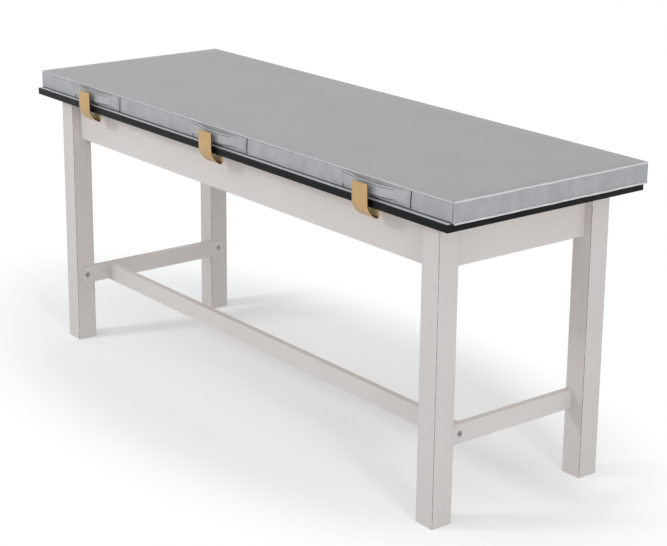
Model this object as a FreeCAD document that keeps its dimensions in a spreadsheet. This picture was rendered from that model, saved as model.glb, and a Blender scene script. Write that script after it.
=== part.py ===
"""Treatment table with a loose pad, in millimetres.

A laminate-faced table stands on four square legs joined by recessed aprons. A low brace ties the legs:
one board is let into the inner faces of the left legs, one lies between the right legs, and a long beam
nearer the front joins them. The board top has a black edge band. A foam pad in a vinyl cover lies on it, and
its three side handles pass behind three J-shaped hooks that are screwed under the front edge.

The origin is on the floor under the middle of the table. +X points to the right end, +Y to the back and
+Z up.
"""

import FreeCAD, Part
import os
import Sketcher

os.makedirs("parts", exist_ok=True)

doc = FreeCAD.newDocument("treatment_table")
sheet = doc.addObject("Spreadsheet::Sheet", "sheet")

DRIVING_SIZES = {
    # top
    "top_length": 1829,
    "top_width": 628,
    "table_height": 767,
    "core_thick": 18.2,
    "laminate_thick": 0.8,
    "band_thick": 2,
    # legs
    "leg_side": 59,
    "leg_end_inset": 69,
    "leg_side_inset": 40.5,
    "wood_chamfer": 0.6,
    # aprons, their dowels, corner blocks and cleats
    "apron_thick": 19,
    "apron_deep": 120,
    "apron_recess": 24,
    "dowel_width": 8,
    "dowel_length": 50,
    "dowel_margin": 30,
    "block_size": 90,
    "block_tall": 76,
    "block_drop": 24,
    "bolt_width": 8,
    "bolt_length": 66,
    "bolt_head_width": 14,
    "bolt_head_tall": 5.5,
    "washer_width": 22,
    "washer_thick": 1.6,
    "cleat_side": 20,
    "cleat_length": 1300,
    "cleat_screw_pitch": 400,
    "cleat_screw_bite": 12,
    # low brace
    "brace_thick": 18,
    "brace_deep": 50,
    "brace_floor_gap": 176,
    "brace_end_margin": 16,
    "brace_proud": 2,
    "brace_corner": 12,
    "brace_screw_inset": 17.5,
    "brace_screw_head_width": 15,
    "brace_recess": 39.5,
    "beam_inset": 106,
    "brace_dowel_pitch": 28,
    # wood screws
    "screw_width": 4.5,
    "screw_head_width": 9.5,
    "screw_head_deep": 3,
    "screw_bite": 26,
    "cross_wide": 1.4,
    "cross_long": 5.5,
    "cross_deep": 1.6,
    # hooks
    "hook_width": 57,
    "hook_thick": 3,
    "hook_pitch": 624,
    "hook_middle_shift": 12,
    "hook_gap": 10,
    "hook_across": 40,
    "hook_rise": 38,
    "hook_drop": 30,
    "hook_lead": 16,
    "hook_foot": 34,
    "hook_screw_pitch": 30,
    "hook_screw_bite": 13,
    # pad and handles
    "pad_thick": 50,
    "pad_seat_gap": 0.3,
    "pad_end_overhang": 3.5,
    "pad_back_overhang": 13,
    "pad_front_setback": 13,
    "pad_round": 6,
    "cover_thick": 1,
    "handle_length": 246,
    "handle_end": 26,
    "handle_run": 52,
    "handle_tall": 30,
    "handle_thick": 2.5,
    "handle_clear": 0.8,
    "handle_low": 10,
    "handle_right_shift": 29,
}
for row, (alias, value) in enumerate(DRIVING_SIZES.items(), start=1):
    sheet.set(f"A{row}", alias.replace("_", " "))
    sheet.set(f"B{row}", str(value))
    sheet.setAlias(f"B{row}", alias)
doc.recompute()

HALF_LONG = "(sheet.top_length / 2 - sheet.leg_end_inset)"
HALF_WIDE = "(sheet.top_width / 2 - sheet.leg_side_inset)"
FRONT = f"(-{HALF_WIDE})"
LEFT = f"(-{HALF_LONG})"
BOARD_THICK = "(sheet.core_thick + sheet.laminate_thick)"
UNDER_TOP = f"(sheet.table_height - {BOARD_THICK})"
APRON_OUT_X = f"({HALF_LONG} - sheet.apron_recess)"
APRON_OUT_Y = f"({HALF_WIDE} - sheet.apron_recess)"
APRON_IN_X = f"({APRON_OUT_X} - sheet.apron_thick)"
APRON_IN_Y = f"({APRON_OUT_Y} - sheet.apron_thick)"
APRON_Z = f"({UNDER_TOP} - sheet.apron_deep)"
LEG_IN_X = f"({HALF_LONG} - sheet.leg_side)"
LEG_IN_Y = f"({HALF_WIDE} - sheet.leg_side)"
BRACE_MID_Z = "(sheet.brace_floor_gap + sheet.brace_deep / 2)"
LEFT_BRACE_FACE = f"(-{LEG_IN_X} + sheet.brace_proud)"
LEFT_BRACE_BACK = f"({LEFT_BRACE_FACE} - sheet.brace_thick)"
RIGHT_BRACE_OUT = f"({HALF_LONG} - sheet.brace_recess)"
RIGHT_BRACE_IN = f"({RIGHT_BRACE_OUT} - sheet.brace_thick)"
BEAM_FRONT = f"({FRONT} + sheet.beam_inset)"
BEAM_MID_Y = f"({BEAM_FRONT} + sheet.brace_thick / 2)"
HOOK_IN_Y = "(-sheet.top_width / 2 - sheet.hook_gap)"
HOOK_OUT_Y = f"({HOOK_IN_Y} - sheet.hook_thick)"
PAD_FRONT = "(sheet.pad_front_setback - sheet.top_width / 2)"
PAD_LENGTH = "(sheet.top_length + 2 * sheet.pad_end_overhang)"
PAD_WIDTH = "(sheet.top_width + sheet.pad_back_overhang - sheet.pad_front_setback)"
PAD_Z = "(sheet.table_height + sheet.pad_seat_gap)"

UPRIGHT = FreeCAD.Rotation()
TO_RIGHT = FreeCAD.Rotation(FreeCAD.Vector(0, 1, 0), 90)
TO_LEFT = FreeCAD.Rotation(FreeCAD.Vector(0, 1, 0), -90)
TO_BACK = FreeCAD.Rotation(FreeCAD.Vector(1, 0, 0), -90)
TO_BACK_RIGHT = FreeCAD.Rotation(FreeCAD.Vector(0, 0, 1), FreeCAD.Vector(1, 1, 0))
ACROSS_CORNER = FreeCAD.Rotation(FreeCAD.Vector(0, 0, 1), 135)

nodes = {}


def keep(piece, label):
    """Names a finished sub-part, which becomes the node of that name."""
    piece.Label = label
    nodes[label] = piece
    return piece


def place(piece, x, y, z, rotation=UPRIGHT):
    """Puts a piece at a point given by three expressions."""
    piece.Placement = FreeCAD.Placement(FreeCAD.Vector(), rotation)
    for axis, text in zip("xyz", (x, y, z)):
        piece.setExpression(f"Placement.Base.{axis}", str(text))
    return piece


def box(name, length, width, height, x, y, z, rotation=UPRIGHT):
    """A plain block, from its lowest corner."""
    piece = doc.addObject("Part::Box", name)
    for prop, text in (("Length", length), ("Width", width), ("Height", height)):
        piece.setExpression(prop, str(text))
    return place(piece, x, y, z, rotation)


def cylinder(name, width, height, x, y, z, rotation=UPRIGHT):
    """A round bar, from the middle of its first face."""
    piece = doc.addObject("Part::Cylinder", name)
    piece.setExpression("Radius", f"({width}) / 2")
    piece.setExpression("Height", str(height))
    return place(piece, x, y, z, rotation)


def fuse(name, *pieces):
    joined = doc.addObject("Part::MultiFuse", name)
    joined.Shapes = list(pieces)
    return joined


def cut(name, base, *tools):
    """The base with one or several tools taken away."""
    piece = doc.addObject("Part::Cut", name)
    piece.Base = base
    piece.Tool = tools[0] if len(tools) == 1 else fuse(name + "_tools", *tools)
    return piece


def group(name, pieces):
    """Like pieces that share one node, as separate solids."""
    together = doc.addObject("Part::Compound", name)
    together.Links = list(pieces)
    return together


def mirror(name, piece, normal):
    """The same piece on the other side of a middle plane of the table."""
    copy = doc.addObject("Part::Mirroring", name)
    copy.Source = piece
    copy.Base = FreeCAD.Vector()
    copy.Normal = FreeCAD.Vector(*normal)
    return copy


CORNERS = (("back", "right"), ("back", "left"), ("front", "right"), ("front", "left"))


def at_four_corners(name, piece):
    """A piece of the back right corner, and its copies at the other corners."""
    back_left = mirror(name + "_back_left", piece, (1, 0, 0))
    front_right = mirror(name + "_front_right", piece, (0, 1, 0))
    front_left = mirror(name + "_front_left", back_left, (0, 1, 0))
    return dict(zip(CORNERS, (piece, back_left, front_right, front_left)))


def outline_on(body, role, points):
    """A closed outline on one of the body's own planes. Each point is a pair of expressions."""
    plane = next(o for o in body.Origin.OriginFeatures if o.Role == role)
    sketch = body.newObject("Sketcher::SketchObject", body.Name + "_outline")
    sketch.AttachmentSupport = [(plane, "")]
    sketch.MapMode = "FlatFace"
    count = len(points)
    guess = [FreeCAD.Vector(10 + 10 * i, 5 + 3 * i * i, 0) for i in range(count)]
    for i in range(count):
        sketch.addGeometry(Part.LineSegment(guess[i], guess[(i + 1) % count]), False)
    for i in range(count):
        sketch.addConstraint(Sketcher.Constraint("Coincident", i, 2, (i + 1) % count, 1))
    for i, (across, up) in enumerate(points):
        for kind, text, axis in (("DistanceX", across, -2), ("DistanceY", up, -1)):
            if text == "0":
                sketch.addConstraint(Sketcher.Constraint("PointOnObject", i, 1, axis))
                continue
            number = sketch.addConstraint(Sketcher.Constraint(kind, -1, 1, i, 1, 10.0 + i))
            word = ("across" if kind == "DistanceX" else "up") + f"_{i}"
            sketch.renameConstraint(number, word)
            sketch.setExpression(f"Constraints.{word}", text)
    return sketch


def push_out(name, role, points, run, backwards=False):
    """A body made by pushing one outline straight out."""
    body = doc.addObject("PartDesign::Body", name)
    sketch = outline_on(body, role, points)
    pad = body.newObject("PartDesign::Pad", name + "_pad")
    pad.Profile = sketch
    pad.setExpression("Length", run)
    pad.Reversed = backwards
    body.Tip = pad
    doc.recompute()
    return body, pad


def edges_along(shape, direction):
    """The names of the straight edges that run one way."""
    return [f"Edge{i}" for i, edge in enumerate(shape.Edges, start=1)
            if abs(edge.tangentAt(edge.FirstParameter).dot(direction)) > 0.99]


GRAIN = {
    "x": ("YZ_Plane", FreeCAD.Vector(1, 0, 0)),
    "y": ("XZ_Plane", FreeCAD.Vector(0, 1, 0)),
    "z": ("XY_Plane", FreeCAD.Vector(0, 0, 1)),
}


def board(name, length, width, height, x, y, z, grain, eased="sheet.wood_chamfer", rounded=False):
    """A straight board whose edges along one direction are eased, or rounded."""
    role, direction = GRAIN[grain]
    by_grain = {"x": (width, height, length), "y": (length, height, width), "z": (length, width, height)}
    across, up, run = by_grain[grain]
    body, pad = push_out(name, role, [("0", "0"), (across, "0"), (across, up), ("0", up)], run, grain == "y")
    kind = "PartDesign::Fillet" if rounded else "PartDesign::Chamfer"
    finish = body.newObject(kind, name + "_eased")
    finish.Base = (pad, edges_along(pad.Shape, direction))
    finish.setExpression("Radius" if rounded else "Size", eased)
    body.Tip = finish
    return place(body, x, y, z)


def screw(name, x, y, z, rotation, length, head_width="sheet.screw_head_width"):
    """A countersunk screw with a cross recess, from the middle of its head's face.

    Returns the room that it fills and the screw itself.
    """
    shank = cylinder(name + "_shank", "sheet.screw_width", length, x, y, z, rotation)
    head = doc.addObject("Part::Cone", name + "_head")
    head.setExpression("Radius1", f"{head_width} / 2")
    head.setExpression("Radius2", "sheet.screw_width / 2")
    head.setExpression("Height", "sheet.screw_head_deep")
    place(head, x, y, z, rotation)
    room = fuse(name + "_room", shank, head)
    side, other = (rotation.multVec(FreeCAD.Vector(*v)) for v in ((1, 0, 0), (0, 1, 0)))
    slots = []
    for mark, (wide, long) in (("a", ("sheet.cross_wide", "sheet.cross_long")),
                               ("b", ("sheet.cross_long", "sheet.cross_wide"))):
        corner = [f"{point} - ({side[i]:.0f}) * {wide} / 2 - ({other[i]:.0f}) * {long} / 2"
                  for i, point in enumerate((x, y, z))]
        slots.append(box(f"{name}_slot_{mark}", wide, long, "sheet.cross_deep", *corner, rotation))
    return room, cut(name, room, *slots)


# The board top: a core and a laminate sheet inside black edge bands.
inner_length = "(sheet.top_length - 2 * sheet.band_thick)"
inner_width = "(sheet.top_width - 2 * sheet.band_thick)"
core = box("core", inner_length, inner_width, "sheet.core_thick", f"-{inner_length} / 2", f"-{inner_width} / 2",
           UNDER_TOP)
keep(box("laminate", inner_length, inner_width, "sheet.laminate_thick", f"-{inner_length} / 2",
         f"-{inner_width} / 2", "sheet.table_height - sheet.laminate_thick"), "top_laminate")
for side, y in (("front", "-sheet.top_width / 2"), ("back", "sheet.top_width / 2 - sheet.band_thick")):
    keep(box("band_" + side, "sheet.top_length", "sheet.band_thick", BOARD_THICK, "-sheet.top_length / 2", y,
             UNDER_TOP), "edge_band_" + side)
for side, x in (("left", "-sheet.top_length / 2"), ("right", "sheet.top_length / 2 - sheet.band_thick")):
    keep(box("band_" + side, "sheet.band_thick", inner_width, BOARD_THICK, x, f"-{inner_width} / 2", UNDER_TOP),
         "edge_band_" + side)

# Two dowels hold each apron end. The long aprons' dowels lie lower, so the two rows miss each other in the leg.
long_dowels = {corner: [] for corner in CORNERS}
short_dowels = {corner: [] for corner in CORNERS}
for level in (0, 1):
    step = f"{APRON_Z} + sheet.dowel_margin + {level} * (sheet.apron_deep - 2 * sheet.dowel_margin)"
    along_x = cylinder(f"long_dowel_{level}", "sheet.dowel_width", "sheet.dowel_length",
                       f"{LEG_IN_X} - sheet.dowel_length / 2", f"{APRON_OUT_Y} - sheet.apron_thick / 2",
                       f"{step} - sheet.dowel_width", TO_RIGHT)
    along_y = cylinder(f"short_dowel_{level}", "sheet.dowel_width", "sheet.dowel_length",
                       f"{APRON_OUT_X} - sheet.apron_thick / 2", f"{LEG_IN_Y} - sheet.dowel_length / 2",
                       f"{step} + sheet.dowel_width", TO_BACK)
    for row, dowel in ((long_dowels, along_x), (short_dowels, along_y)):
        for corner, copy in at_four_corners(dowel.Name, dowel).items():
            row[corner].append(copy)
all_dowels = [d for row in (long_dowels, short_dowels) for pair in row.values() for d in pair]
keep(group("dowels", all_dowels), "apron_dowels")

# Corner blocks: a square prism in the corner of two aprons, cut along its diagonal and notched round the leg.
block_z = f"({UNDER_TOP} - sheet.block_drop - sheet.block_tall)"
square = box("block_square", "sheet.block_size", "sheet.block_size", "sheet.block_tall",
             f"{APRON_IN_X} - sheet.block_size", f"{APRON_IN_Y} - sheet.block_size", block_z)
waste = box("block_waste", "2 * sheet.block_size", "sheet.block_size", "sheet.block_tall",
            APRON_IN_X, f"{APRON_IN_Y} - sheet.block_size", block_z, ACROSS_CORNER)
notch = box("block_notch", "sheet.leg_side", "sheet.leg_side", "sheet.block_tall", LEG_IN_X, LEG_IN_Y, block_z)
face_x = f"({APRON_IN_X} - sheet.block_size / 2)"
face_y = f"({APRON_IN_Y} - sheet.block_size / 2)"
bolt_z = f"({block_z} + sheet.block_tall / 2)"
shank = cylinder("bolt_shank", "sheet.bolt_width", "sheet.bolt_length", face_x, face_y, bolt_z, TO_BACK_RIGHT)
block = cut("block", square, waste, notch, shank)
for corner, copy in at_four_corners("block", block).items():
    keep(copy, "corner_block_" + "_".join(corner))


def before_face(distance):
    """The point on the bolt's axis that lies a distance before the block's long face."""
    return f"{face_x} - ({distance}) / sqrt(2)", f"{face_y} - ({distance}) / sqrt(2)", bolt_z


washer_point = before_face("sheet.washer_thick")
washer_disc = cylinder("washer_disc", "sheet.washer_width", "sheet.washer_thick", *washer_point, TO_BACK_RIGHT)
neck = cylinder("bolt_neck", "sheet.bolt_width", "sheet.washer_thick", *washer_point, TO_BACK_RIGHT)
washer = cut("washer", washer_disc, neck)
hexagon = doc.addObject("Part::Prism", "bolt_head")
hexagon.Polygon = 6
hexagon.setExpression("Circumradius", "sheet.bolt_head_width / 2")
hexagon.setExpression("Height", "sheet.bolt_head_tall")
place(hexagon, *before_face("sheet.washer_thick + sheet.bolt_head_tall"), TO_BACK_RIGHT)
bolt_rooms = at_four_corners("bolt_room", shank)
keep(group("bolts", at_four_corners("bolt", fuse("bolt", shank, neck, hexagon)).values()), "corner_bolts")
keep(group("washers", at_four_corners("washer", washer).values()), "corner_washers")

# Cleats along the long aprons carry the screws that hold the top down.
top_screws = []
top_rooms = []
for side, y in (("front", f"-{APRON_IN_Y} + sheet.cleat_side / 2"),
                ("back", f"{APRON_IN_Y} - sheet.cleat_side / 2")):
    rooms = []
    for step in (-1, 0, 1):
        room, solid = screw(f"top_screw_{side}_{step + 1}", f"{step} * sheet.cleat_screw_pitch", y,
                            f"({UNDER_TOP} - sheet.cleat_side)", UPRIGHT,
                            "sheet.cleat_side + sheet.cleat_screw_bite")
        rooms.append(room)
        top_screws.append(solid)
    top_rooms += rooms
    low_y = f"-{APRON_IN_Y}" if side == "front" else f"{APRON_IN_Y} - sheet.cleat_side"
    bar = box("cleat_bar_" + side, "sheet.cleat_length", "sheet.cleat_side", "sheet.cleat_side",
              "-sheet.cleat_length / 2", low_y, f"{UNDER_TOP} - sheet.cleat_side")
    keep(cut("cleat_bored_" + side, bar, *rooms), "cleat_" + side)
keep(group("top_screw_set", top_screws), "top_screws")

# The low brace. Its left board is let into the legs' inner faces, and a screw at each end goes into a leg. These
# screws have wide heads.
WIDE_HEAD = "sheet.brace_screw_head_width"
leg_screws = {}
leg_rooms = {}
for end, sign in (("front", "-1"), ("back", "1")):
    screw_y = f"{sign} * ({HALF_WIDE} - sheet.brace_end_margin - sheet.brace_screw_inset)"
    leg_rooms[end], leg_screws[end] = screw("leg_screw_" + end, LEFT_BRACE_FACE, screw_y, BRACE_MID_Z, TO_LEFT,
                                            "sheet.brace_thick + sheet.screw_bite", WIDE_HEAD)
keep(group("leg_screw_set", leg_screws.values()), "brace_leg_screws")
left_room, left_screw = screw("beam_screw_left", LEFT_BRACE_BACK, BEAM_MID_Y, BRACE_MID_Z, TO_RIGHT,
                              "sheet.brace_thick + sheet.screw_bite", WIDE_HEAD)
right_room, right_screw = screw("beam_screw_right", RIGHT_BRACE_OUT, BEAM_MID_Y, BRACE_MID_Z, TO_LEFT,
                                "sheet.brace_thick + sheet.screw_bite", WIDE_HEAD)
keep(group("beam_screw_set", [left_screw, right_screw]), "beam_screws")

left_length = f"(2 * {HALF_WIDE} - 2 * sheet.brace_end_margin)"
left_board = board("left_board", "sheet.brace_thick", left_length, "sheet.brace_deep", LEFT_BRACE_BACK,
                   f"-{left_length} / 2", "sheet.brace_floor_gap", "x", "sheet.brace_corner", True)
keep(cut("left_brace_bored", left_board, leg_rooms["front"], leg_rooms["back"], left_room), "left_end_brace")

# The right board is let in between the right legs on two dowels at each end.
brace_dowels = {"front": [], "back": []}
for end, y in (("front", f"-{LEG_IN_Y}"), ("back", LEG_IN_Y)):
    for level in (0, 1):
        height = f"{BRACE_MID_Z} + ({level} - 0.5) * sheet.brace_dowel_pitch"
        brace_dowels[end].append(cylinder(
            f"brace_dowel_{end}_{level}", "sheet.dowel_width", "sheet.dowel_length",
            f"{RIGHT_BRACE_OUT} - sheet.brace_thick / 2", f"{y} - sheet.dowel_length / 2", height, TO_BACK))
keep(group("brace_dowel_set", brace_dowels["front"] + brace_dowels["back"]), "brace_dowels")
right_board = board("right_board", "sheet.brace_thick", f"2 * {LEG_IN_Y}", "sheet.brace_deep", RIGHT_BRACE_IN,
                    f"-{LEG_IN_Y}", "sheet.brace_floor_gap", "y")
keep(cut("right_brace_bored", right_board, right_room, *brace_dowels["front"], *brace_dowels["back"]),
     "right_end_brace")
beam = board("beam", f"{RIGHT_BRACE_IN} - {LEFT_BRACE_FACE}", "sheet.brace_thick", "sheet.brace_deep",
             LEFT_BRACE_FACE, BEAM_FRONT, "sheet.brace_floor_gap", "x")
keep(cut("beam_bored", beam, left_room, right_room), "long_brace")

# Legs and aprons, bored for all that goes into them.
for corner in CORNERS:
    end, side = corner
    low_x = LEFT if side == "left" else LEG_IN_X
    low_y = FRONT if end == "front" else LEG_IN_Y
    post = board("post_" + "_".join(corner), "sheet.leg_side", "sheet.leg_side", UNDER_TOP, low_x, low_y, "0", "z")
    rooms = [bolt_rooms[corner]] + long_dowels[corner] + short_dowels[corner]
    rooms += [leg_rooms[end], left_board] if side == "left" else brace_dowels[end]
    keep(cut("leg_bored_" + "_".join(corner), post, *rooms), "leg_" + "_".join(corner))
for end, y in (("front", f"-{APRON_OUT_Y}"), ("back", APRON_IN_Y)):
    rail = board("rail_" + end, f"2 * {LEG_IN_X}", "sheet.apron_thick", "sheet.apron_deep", f"-{LEG_IN_X}", y,
                 APRON_Z, "x")
    keep(cut("apron_bored_" + end, rail, *long_dowels[end, "left"], *long_dowels[end, "right"]), "apron_" + end)
for side, x in (("left", f"-{APRON_OUT_X}"), ("right", APRON_IN_X)):
    rail = board("rail_" + side, "sheet.apron_thick", f"2 * {LEG_IN_Y}", "sheet.apron_deep", x, f"-{LEG_IN_Y}",
                 APRON_Z, "y")
    keep(cut("apron_bored_" + side, rail, *short_dowels["front", side], *short_dowels["back", side]), "apron_" + side)

# Hooks: a flat strip that comes down upright in front of the board, sweeps in below it, turns up and ends in a
# foot that is screwed up into the board. The outline is drawn from behind the hook's front face and above its
# lowest point, down the outer side and back along the inner side.
across = "sheet.hook_across"
thick = "sheet.hook_thick"
drop = "sheet.hook_drop"
lead = f"({drop} + sheet.hook_lead)"
hook_tall = f"({BOARD_THICK} + {drop} + sheet.hook_rise)"
foot_end = f"({across} - {thick} + sheet.hook_foot)"
outer_side = [("0", hook_tall), ("0", lead), (f"0.06 * {across}", f"0.95 * {drop}"),
              (f"0.2 * {across}", f"0.62 * {drop}"),
              (f"0.38 * {across}", f"0.33 * {drop}"), (f"0.58 * {across}", f"0.11 * {drop}"), (f"0.78 * {across}", "0"),
              (f"0.92 * {across}", f"0.08 * {drop}"), (across, f"0.28 * {drop}"), (across, f"{drop} - {thick}"),
              (foot_end, f"{drop} - {thick}")]
inner_side = [(foot_end, drop), (f"{across} - {thick}", drop),
              (f"{across} - {thick}", f"0.28 * {drop} + 0.3 * {thick}"),
              (f"0.92 * {across} - 0.7 * {thick}", f"0.08 * {drop} + 0.75 * {thick}"), (f"0.78 * {across}", thick),
              (f"0.58 * {across} + 0.4 * {thick}", f"0.11 * {drop} + 0.92 * {thick}"),
              (f"0.38 * {across} + 0.68 * {thick}", f"0.33 * {drop} + 0.74 * {thick}"),
              (f"0.2 * {across} + 0.84 * {thick}", f"0.62 * {drop} + 0.54 * {thick}"),
              (f"0.06 * {across} + 0.94 * {thick}", f"0.95 * {drop} + 0.34 * {thick}"),
              (thick, f"{lead} + 0.1 * {thick}"), (thick, hook_tall)]
PLACES = (("left", "-sheet.hook_pitch"), ("middle", "-sheet.hook_middle_shift"), ("right", "sheet.hook_pitch"))
hook_screws = []
for side, middle in PLACES:
    strip, _ = push_out("hook_strip_" + side, "YZ_Plane", outer_side + inner_side, "sheet.hook_width")
    place(strip, f"{middle} - sheet.hook_width / 2", HOOK_OUT_Y, f"{UNDER_TOP} - {drop}")
    rooms = []
    for hand, sign in (("a", "-1"), ("b", "1")):
        room, solid = screw(f"hook_screw_{side}_{hand}", f"{middle} + {sign} * sheet.hook_screw_pitch / 2",
                            f"({HOOK_OUT_Y} + {across} + (sheet.hook_foot - {thick}) / 2)",
                            f"({UNDER_TOP} - {thick})", UPRIGHT, f"{thick} + sheet.hook_screw_bite")
        rooms.append(room)
        hook_screws.append(solid)
    top_rooms += rooms
    keep(cut("hook_bored_" + side, strip, *rooms), "hook_" + side)
keep(group("hook_screw_set", hook_screws), "hook_screws")
keep(cut("core_bored", core, *top_rooms), "top_core")


# The pad: foam in a cover of a top panel, a bottom panel and a boxing strip round the sides.
def panel(name, inset, height, z):
    """A slab with rounded upright edges, drawn in from the pad's outline by an inset."""
    length = f"({PAD_LENGTH} - 2 * {inset})"
    width = f"({PAD_WIDTH} - 2 * {inset})"
    return board(name, length, width, height, f"-{length} / 2", f"{PAD_FRONT} + {inset}", z, "z",
                 f"sheet.pad_round - {inset}", True)


cover = "sheet.cover_thick"
inside_tall = f"(sheet.pad_thick - 2 * {cover})"
keep(panel("bottom_panel", "0", cover, PAD_Z), "pad_bottom_panel")
keep(panel("foam", cover, inside_tall, f"{PAD_Z} + {cover}"), "pad_foam")
strip = panel("strip_outside", "0", inside_tall, f"{PAD_Z} + {cover}")
strip_room = panel("strip_inside", cover, inside_tall, f"{PAD_Z} + {cover}")
keep(cut("strip", strip, strip_room), "pad_side_strip")
keep(panel("top_panel", "0", cover, f"{PAD_Z} + sheet.pad_thick - {cover}"), "pad_top_panel")

# Handles: a strip sewn flat at both ends, which bows out to pass just behind a hook.
reach = f"({PAD_FRONT} - {HOOK_IN_Y} - sheet.handle_clear)"
low = f"({reach} - sheet.handle_thick)"
rise = "(sheet.handle_end + sheet.handle_run)"
half = [("sheet.handle_end", low), (rise, "0"), (f"sheet.handle_length - {rise}", "0"),
        ("sheet.handle_length - sheet.handle_end", low), ("sheet.handle_length", low)]
far = [("0", reach), ("sheet.handle_end", reach), (rise, "sheet.handle_thick"),
       (f"sheet.handle_length - {rise}", "sheet.handle_thick"), ("sheet.handle_length - sheet.handle_end", reach),
       ("sheet.handle_length", reach)]
handle_outline = [("0", low)] + half + far[::-1]
for side, middle in PLACES:
    handle, _ = push_out("handle_" + side, "XY_Plane", handle_outline, "sheet.handle_tall")
    place(handle, f"{middle} + sheet.handle_right_shift - sheet.handle_length / 2",
          f"{HOOK_IN_Y} + sheet.handle_clear", f"{PAD_Z} + sheet.handle_low")
    keep(handle, "pad_handle_" + side)

doc.recompute()

for piece in doc.Objects:
    bad = [state for state in piece.State if state in ("Invalid", "Error")]
    assert not bad, f"{piece.Label} did not recompute: {piece.State}"
for label, piece in nodes.items():
    shape = piece.Shape
    assert not shape.isNull() and shape.isValid() and shape.Volume > 0, f"{label} has no valid solid"
    shape.exportStep(f"parts/{label}.step")
    size = shape.BoundBox
    print(f"{label:26s} x {size.XMin:8.1f} {size.XMax:8.1f}  y {size.YMin:8.1f} {size.YMax:8.1f}"
          f"  z {size.ZMin:7.1f} {size.ZMax:7.1f}  volume {shape.Volume / 1000:10.2f} cm3")
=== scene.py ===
# %% [markdown]
# # A treatment table with a loose pad
#
# The table's boards, legs, hooks and screws come from a CAD model, which is loaded as a fixed frame. This
# script gives each of them a finish, and makes what CAD leaves plain: the soft pad, its sewn handles, the
# bent hooks and the eased black edging. Sizes are in metres. +X is the table's right end, +Y its back and
# +Z is up, with the origin on the floor.

# %% Load the frame
import math

import bmesh
import bpy
import numpy as np
from mathutils import Matrix, Vector
from mathutils.bvhtree import BVHTree


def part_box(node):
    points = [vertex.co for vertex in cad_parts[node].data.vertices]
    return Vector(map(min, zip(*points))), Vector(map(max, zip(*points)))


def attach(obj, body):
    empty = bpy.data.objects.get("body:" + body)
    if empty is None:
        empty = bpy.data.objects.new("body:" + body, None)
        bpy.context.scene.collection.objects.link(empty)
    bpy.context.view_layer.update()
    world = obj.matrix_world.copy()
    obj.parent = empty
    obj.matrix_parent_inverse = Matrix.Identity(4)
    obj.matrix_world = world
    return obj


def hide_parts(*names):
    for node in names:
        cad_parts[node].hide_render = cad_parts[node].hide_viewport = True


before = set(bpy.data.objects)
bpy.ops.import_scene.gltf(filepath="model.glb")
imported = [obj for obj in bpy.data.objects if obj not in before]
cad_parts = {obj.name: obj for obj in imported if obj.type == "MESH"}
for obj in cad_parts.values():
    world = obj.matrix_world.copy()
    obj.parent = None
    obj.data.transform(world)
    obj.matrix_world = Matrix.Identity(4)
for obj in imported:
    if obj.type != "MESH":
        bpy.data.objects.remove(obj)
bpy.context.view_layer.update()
MM = 0.001

# %% [markdown]
# ## Small helpers
#
# Colours are written as sRGB hex values, as a colour picker gives them, and one function turns them into the
# linear values that Blender's shaders use. Another adds a node with its settings and links, so that each
# material reads as a list of what feeds what.

# %% Colour and node helpers
def linear(hex_value):
    """An sRGB hex colour as linear RGBA."""
    parts = [int(hex_value.lstrip("#")[i:i + 2], 16) / 255 for i in (0, 2, 4)]
    return [c / 12.92 if c <= 0.04045 else ((c + 0.055) / 1.055) ** 2.4 for c in parts] + [1.0]


def add(tree, kind, settings=None, **inputs):
    """Adds a node. Each input is a value, or the socket that feeds it."""
    node = tree.nodes.new(kind)
    for name, value in (settings or {}).items():
        setattr(node, name, value)
    for name, value in inputs.items():
        key = int(name[1:]) if name[0] == "_" and name[1:].isdigit() else name.replace("_", " ")
        socket = node.inputs[key]
        if isinstance(value, bpy.types.NodeSocket):
            tree.links.new(value, socket)
        else:
            socket.default_value = value
    return node


def new_finish(name, roughness, **settings):
    """A material with one Principled shader. Returns the material, its tree and its shader."""
    material = bpy.data.materials.new(name)
    material.use_nodes = True
    tree = material.node_tree
    shader = tree.nodes["Principled BSDF"]
    shader.inputs["Roughness"].default_value = roughness
    for key, value in settings.items():
        shader.inputs[key.replace("_", " ")].default_value = value
    return material, tree, shader


def scatter(tree, per_mm, detail=2.0, stretch=(1, 1, 1), offset=(0, 0, 0), rough=0.5):
    """Noise on Object coordinates. One blotch is about per_mm millimetres wide, times the stretch."""
    where = add(tree, "ShaderNodeTexCoord")
    spread = add(tree, "ShaderNodeMapping", Vector=where.outputs["Object"],
                 Scale=[1 / s for s in stretch], Location=offset)
    return add(tree, "ShaderNodeTexNoise", {"noise_dimensions": "3D"}, Vector=spread.outputs[0],
               Scale=1 / (per_mm * MM), Detail=detail, Roughness=rough).outputs["Fac"]


def shade_between(tree, factor, low, high, start=0.3, stop=0.7):
    """A colour that runs from low to high as a 0 to 1 pattern goes from start to stop."""
    ramp = add(tree, "ShaderNodeMapRange", Value=factor, From_Min=start, From_Max=stop)
    return add(tree, "ShaderNodeMix", {"data_type": "RGBA"}, _0=ramp.outputs[0], _6=linear(low),
               _7=linear(high)).outputs[2]


def coloured(tree, shader, pattern, low, high, start=0.3, stop=0.7):
    """Gives a shader a colour that runs from low to high with a pattern."""
    tree.links.new(shade_between(tree, pattern, low, high, start, stop), shader.inputs["Base Color"])


def bumped(tree, shader, height, depth_mm, previous=None):
    """Adds a bump of a depth in millimetres to the shader, on top of an earlier bump."""
    inputs = {"Height": height, "Strength": 1.0, "Distance": depth_mm * MM}
    if previous is not None:
        inputs["Normal"] = previous
    bump = add(tree, "ShaderNodeBump", **inputs)
    tree.links.new(bump.outputs[0], shader.inputs["Normal"])
    return bump.outputs[0]


print("black edging in linear light:", [round(c, 4) for c in linear("#09090A")])

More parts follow.
